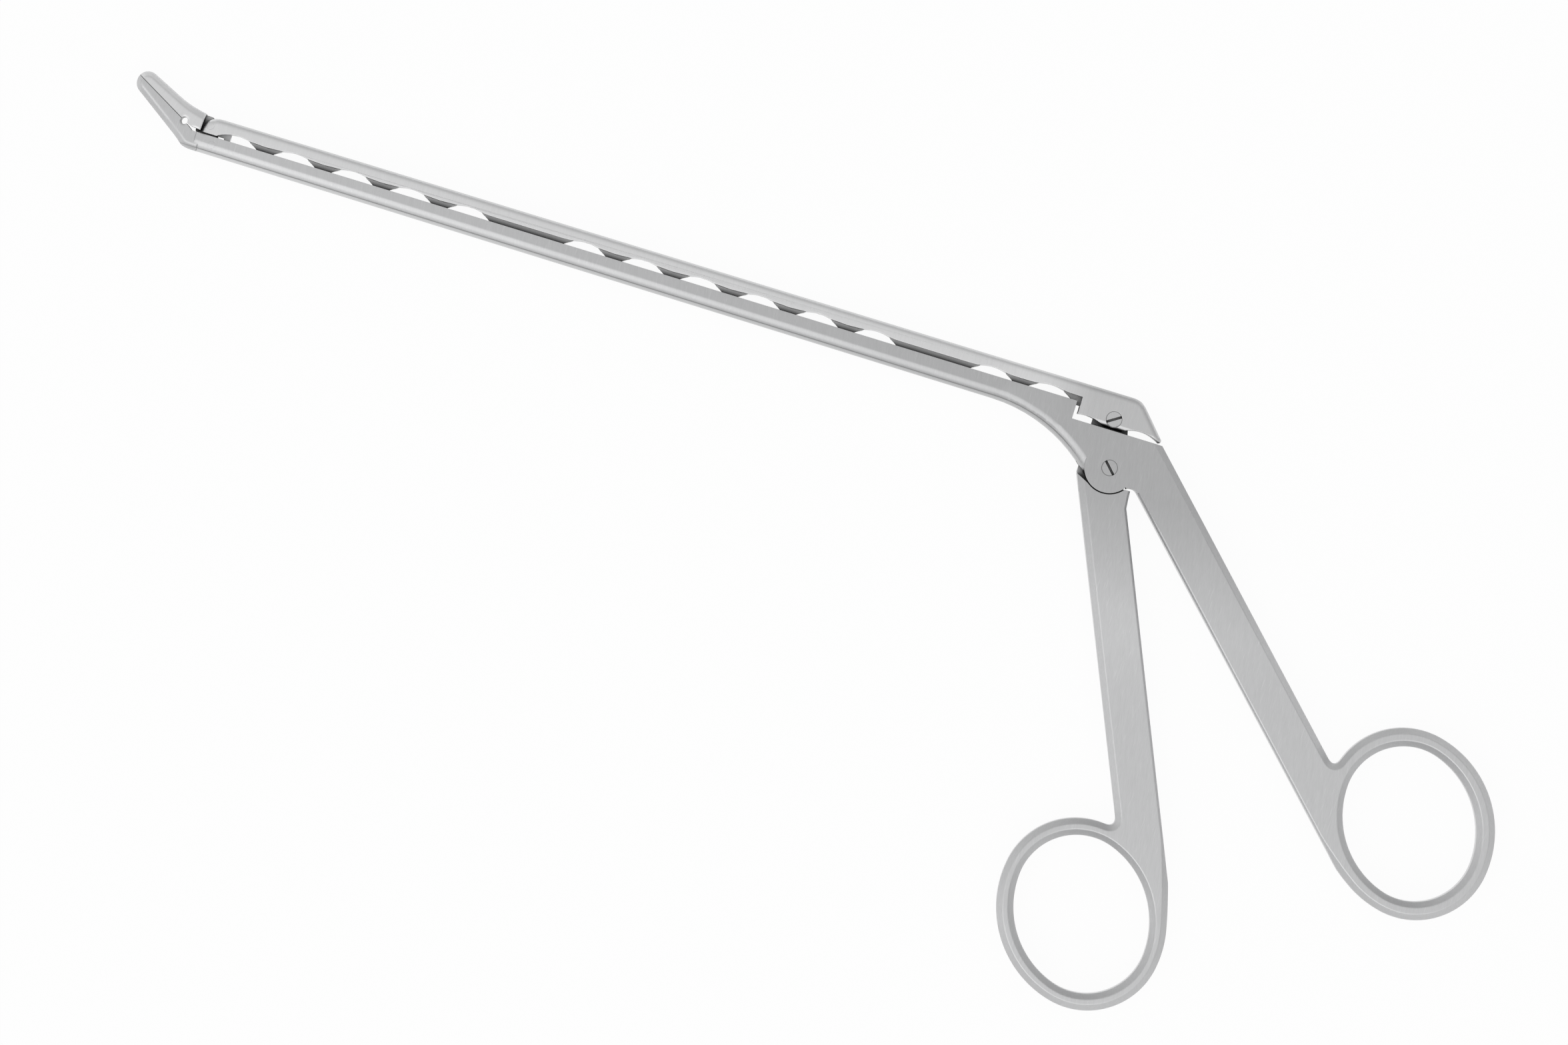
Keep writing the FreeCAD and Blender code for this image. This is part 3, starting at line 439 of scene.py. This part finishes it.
def rounderRims(bm):
    # every curved rim gets a vertex in the middle of each edge, on the smooth curve through its vertices:
    # middle of the chord plus an eighth of its length times the difference of the two end tangents
    rims, smooth = rimChains(bm)
    least, most = (d * mm for d in dressing["bulge"])
    places = []
    for edge in rims:
        first, last = edge.verts
        chord = last.co - first.co
        way = chord.normalized()
        start, end = tangentAt(first, last, smooth), tangentAt(last, first, smooth)
        if start is None and end is None:
            continue
        end = -end if end is not None else 2 * start.dot(way) * way - start
        start = start if start is not None else 2 * end.dot(way) * way - end
        bulge = chord.length / 8 * (start - end)
        if least < bulge.length < most:
            places.append((edge, first, (first.co + last.co) / 2 + bulge))
    for edge, first, place in places:
        vert = bmesh.utils.edge_split(edge, first, 0.5)[1]
        vert.co = place
    splitCorners(bm)
    return len(places)


windows = {
    "lip": 10.0,                # lower edge of the sliding shaft's sides
    "top": 10.39,               # top of a window's arc
    "radius": 6.1,
    "first": -155.0,            # middle of the window behind the nose
    "pitch": 10.13,
    "count": 15,
    "solid": (5, 12),           # places left without a window
    "softness": 0.30,           # how gently the lip's straight runs turn into the arcs
    "splits": (0.5, 1.0, 1.6, 2.3),     # distances from a straight run's ends where it gets points
    "leastSplit": 0.2,
    "startAfter": 0.1,          # the wave starts this far behind the first window's middle
    "endShort": 0.4,            # and ends this share of a pitch before the place after the last
    "fromMiddle": 1.0,          # the lips are further from the middle plane than this
    "near": 0.1,                # and this near to their height
    "straight": 0.005,
}


def lipHeight(x, softness):
    # height of the lip at x in mm: the higher of the straight lip and the window's arc, as a smooth
    # maximum, half of (a + b + square root of ((a - b) squared + softness squared))
    level = windows["top"] - windows["radius"]
    height = windows["lip"]
    for k in range(windows["count"]):
        across = x - windows["first"] - k * windows["pitch"]
        if k in windows["solid"] or abs(across) > windows["pitch"] / 2 or (k == 0 and across < 0):
            continue
        arch = level + math.sqrt(windows["radius"] ** 2 - across ** 2)
        height = (height + arch + math.hypot(height - arch, softness)) / 2
    return height


def softLips(bm):
    # the lips of the sliding shaft run in one soft wave from window to window
    middle = shape["bodyThickness"] / 2
    start = windows["first"] + windows["startAfter"]
    end = windows["first"] + (windows["count"] - windows["endShort"]) * windows["pitch"]

    def onLip(vert):
        x, y, z = (c / mm for c in vert.co)
        if not start < x < end or abs(z - middle) <= windows["fromMiddle"]:
            return False
        return abs(y - lipHeight(x, 0.0)) < windows["near"]

    for edge in [e for e in bm.edges if all(onLip(v) for v in e.verts)]:
        length = edge.calc_length() / mm
        flat = all(abs(v.co.y / mm - windows["lip"]) < windows["straight"] for v in edge.verts)
        if not flat or length < 2 * windows["splits"][-1]:
            continue
        first, last = edge.verts
        marks = windows["splits"] + tuple(length - d for d in reversed(windows["splits"]))
        done = 0.0
        for mark in marks:
            if mark - done < windows["leastSplit"]:
                continue
            edge, first = bmesh.utils.edge_split(edge, first, (mark - done) / (length - done))
            edge = [e for e in first.link_edges if last in e.verts][0]
            done = mark
    splitCorners(bm)
    for vert in [v for v in bm.verts if onLip(v)]:
        vert.co.y = lipHeight(vert.co.x / mm, windows["softness"]) * mm


def cornerAngle(face, vert):
    return next(loop.calc_angle() for loop in face.loops if loop.vert is vert)


def settledNormals(bm):
    # corner normals, one list entry per corner: within each smooth fan of faces about a vertex, a face
    # counts by its corner's angle and by the area of the whole flat it belongs to, so that flats stay flat
    # up to their edges
    flat = list(range(len(bm.faces)))

    def root(k):
        while flat[k] != k:
            flat[k] = flat[flat[k]]
            k = flat[k]
        return k

    for edge in bm.edges:
        if edge.is_manifold and edge.calc_face_angle(0) < math.radians(dressing["flatUpTo"]):
            one, other = (root(f.index) for f in edge.link_faces)
            flat[one] = other
    area = {}
    for face in bm.faces:
        home = root(face.index)
        area[home] = area.get(home, 0) + face.calc_area()
    normals = []
    for face in bm.faces:
        for loop in face.loops:
            fan, wave = {face}, [face]
            while wave:
                near = wave.pop()
                for edge in near.edges:
                    if loop.vert in edge.verts and edge.smooth and edge.is_manifold:
                        for other in edge.link_faces:
                            if other not in fan:
                                fan.add(other)
                                wave.append(other)
            shares = [area[root(f.index)] * cornerAngle(f, loop.vert) * np.array(f.normal) for f in fan]
            total = np.sum(shares, axis=0)
            size = np.linalg.norm(total)
            normals.append(total / size if size > 0 else np.array(face.normal))
    return normals


def dressedCopy(name, node, body, finish):
    # a merged copy of the node with rounder rims, smooth where its faces turn little
    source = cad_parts[node]
    bm = bmesh.new()
    bm.from_mesh(source.data)
    bmesh.ops.remove_doubles(bm, verts=bm.verts, dist=dressing["mergeWithin"] * mm)
    low = [min(v.co[axis] for v in bm.verts) for axis in range(3)]
    high = [max(v.co[axis] for v in bm.verts) for axis in range(3)]
    added = rounderRims(bm)
    for vert in bm.verts:
        # no point passes the solid's own box
        vert.co = [min(max(vert.co[axis], low[axis]), high[axis]) for axis in range(3)]
    if node == "sliding_shaft":
        softLips(bm)
    for face in bm.faces:
        face.smooth = True
        face.normal_update()
    for edge in bm.edges:
        edge.smooth = edge.is_manifold and turnAt(edge) < dressing["smoothUpTo"]
    bm.faces.index_update()
    normals = settledNormals(bm)
    mesh = bpy.data.meshes.new(name)
    bm.to_mesh(mesh)
    bm.free()
    mesh.normals_split_custom_set([tuple(n) for n in normals])
    piece = meshObject(name, mesh)
    mesh.materials.append(finishes[finish])
    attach(piece, body)
    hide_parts(node)
    print(name, "rim points added:", added, "triangles:", len(mesh.polygons))


dressedCopy("lowerShaftForging", "lower_shaft", "frame", "forged")
dressedCopy("fingerHandleForging", "finger_handle", "handle", "forged")
dressedCopy("slidingShaftBar", "sliding_shaft", "slider", "shaft")
dressedCopy("upperJawCup", "upper_jaw", "jaw", "jaw")
dressedCopy("pivotScrewHead", "pivot_screw", "frame", "pivotScrew")
dressedCopy("driveScrewHead", "drive_screw", "slider", "driveScrew")
for pin in ("jaw_pivot_pin", "jaw_link_pin"):
    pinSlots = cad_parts[pin].data.materials
    pinSlots.clear()
    pinSlots.append(finishes[pin])
print("pieces dressed")


# floor, light and camera

setting = {
    "pixelsPerMm": 9.0,
    "imageSize": (2352, 1568),
    "pivotPixel": (1663.4, 702.2),
    "turn": 17.0,               # of the picture against the shafts, in degrees
    "distance": 1.5,            # metres from the camera to the instrument's middle plane
    "sensor": 36.0,
    "floorHalf": 3.0,
    "floorDrop": 0.02,          # mm by which the floor lies under the instrument
    "floorPaint": (0.9, 0.9, 0.9, 1),
    "floorGlow": 0.95,
    "overhead": 0.74,           # brightness of the room straight above
    "halfWay": (0.52, 0.80),    # half way up its walls, on the dark and on the lit side
    "eyeLevel": (0.85, 1.05),   # low on its walls
    "skirting": 0.10,           # share of that where the walls meet the floor
    "litSide": (-0.64, -0.77),  # direction to the lit side
    "acrossRoom": (-0.8, 0.8),  # how far the change from the dark to the lit side spreads
    "footRise": (0.06, 0.16),   # heights on the walls between which the room changes
    "wallRise": (0.10, 0.50),
    "ceilingRise": (0.50, 0.92),
    "lampPlace": (-0.30, -0.85, 1.30),      # a soft lamp, in metres, and the point it faces
    "lampAim": (-0.05, -0.03, 0),
    "lampSize": (1.5, 1.5),
    "lampPower": 5.0,
}


def makeFloor():
    # the four corners, half the floor's width from the middle each way
    corners = np.array([(-1, -1), (1, -1), (1, 1), (-1, 1)]) * setting["floorHalf"]
    points = np.column_stack([corners, np.full(4, -setting["floorDrop"] * mm)])
    mesh = bpy.data.meshes.new("studioFloor")
    mesh.from_pydata(points.tolist(), [], [(0, 1, 2, 3)])
    mesh.update()
    floor = meshObject("studioFloor", mesh)
    material = bpy.data.materials.new("paleFloor")
    material.use_nodes = True
    tree = material.node_tree
    tree.nodes.clear()
    out = tree.nodes.new("ShaderNodeOutputMaterial")
    matte = tree.nodes.new("ShaderNodeBsdfDiffuse")
    matte.inputs["Color"].default_value = setting["floorPaint"]
    glow = tree.nodes.new("ShaderNodeEmission")
    glow.inputs["Color"].default_value = (1, 1, 1, 1)
    glow.inputs["Strength"].default_value = 1.0
    path = tree.nodes.new("ShaderNodeLightPath")
    seen = arithmetic(tree, "MAXIMUM", path.outputs["Is Camera Ray"], path.outputs["Is Glossy Ray"])
    seen = arithmetic(tree, "MAXIMUM", seen.outputs[0], path.outputs["Is Transmission Ray"])
    share = arithmetic(tree, "MULTIPLY", seen.outputs[0], setting["floorGlow"])
    mix = tree.nodes.new("ShaderNodeMixShader")
    tree.links.new(share.outputs[0], mix.inputs[0])
    link(tree, matte, "BSDF", mix, 1)
    link(tree, glow, "Emission", mix, 2)
    link(tree, mix, "Shader", out, "Surface")
    floor.data.materials.append(material)


def areaLamp(name, place, aim, size, power):
    lamp = bpy.data.lights.new(name, "AREA")
    lamp.shape = "RECTANGLE"
    lamp.size, lamp.size_y = size
    lamp.energy = power
    lampObject = bpy.data.objects.new(name, lamp)
    lampObject.location = place
    direction = np.array(aim) - np.array(place)
    length = np.linalg.norm(direction)
    tilt = math.acos(-direction[2] / length)
    heading = math.atan2(direction[1], direction[0])
    lampObject.rotation_euler = (tilt, 0, heading - math.pi / 2)
    bpy.context.scene.collection.objects.link(lampObject)


def makeLight():
    world = bpy.data.worlds.new("softRoom")
    bpy.context.scene.world = world
    world.use_nodes = True
    tree = world.node_tree
    background = tree.nodes["Background"]
    background.inputs["Strength"].default_value = 1.0
    # the room is bright above and at eye level, where the lit side is brighter, and darker between
    coords = tree.nodes.new("ShaderNodeTexCoord")
    side = tree.nodes.new("ShaderNodeVectorMath")
    side.operation = "DOT_PRODUCT"
    link(tree, coords, "Generated", side, 0)
    side.inputs[1].default_value = setting["litSide"] + (0.0,)
    low = spread(tree, side, "Value", *setting["acrossRoom"], *setting["eyeLevel"])
    middle = spread(tree, side, "Value", *setting["acrossRoom"], *setting["halfWay"])
    split = tree.nodes.new("ShaderNodeSeparateXYZ")
    link(tree, coords, "Generated", split, "Vector")
    foot = spread(tree, split, "Z", *setting["footRise"], setting["skirting"], 1.0)
    wall = combine(tree, "MULTIPLY", low, foot)
    levels = (("wallRise", middle.outputs["Result"]), ("ceilingRise", setting["overhead"]))
    for rising, level in levels:
        height = spread(tree, split, "Z", *setting[rising], 0.0, 1.0)
        height.interpolation_type = "SMOOTHSTEP"
        rise = arithmetic(tree, "SUBTRACT", level, wall.outputs[0])
        rise = arithmetic(tree, "MULTIPLY", rise.outputs[0], height.outputs["Result"])
        wall = arithmetic(tree, "ADD", wall.outputs[0], rise.outputs[0])
    tree.links.new(wall.outputs[0], background.inputs["Color"])
    areaLamp("softBox", setting["lampPlace"], setting["lampAim"], setting["lampSize"], setting["lampPower"])


def makeCamera():
    # the photograph looks straight down, with the shafts turned clockwise in the picture
    scale = setting["pixelsPerMm"]
    turn = math.radians(setting["turn"])
    width, height = setting["imageSize"]
    px = (width / 2 - setting["pivotPixel"][0]) / scale
    py = (height / 2 - setting["pivotPixel"][1]) / scale
    x = (px * math.cos(turn) + py * math.sin(turn)) * mm
    y = (px * math.sin(turn) - py * math.cos(turn)) * mm
    camera = bpy.data.cameras.new("camera")
    camera.sensor_width = setting["sensor"]
    camera.lens = setting["sensor"] * setting["distance"] / (width / scale * mm)
    camera.clip_end = 10
    cameraObject = bpy.data.objects.new("camera", camera)
    cameraObject.location = (x, y, setting["distance"] + shape["bodyThickness"] / 2 * mm)
    cameraObject.rotation_euler = (0, 0, turn)
    bpy.context.scene.collection.objects.link(cameraObject)
    bpy.context.scene.camera = cameraObject
    print("camera over", round(x, 5), round(y, 5))


makeFloor()
makeLight()
makeCamera()
bpy.context.scene.view_settings.view_transform = "Standard"
print("floor, light and camera set")
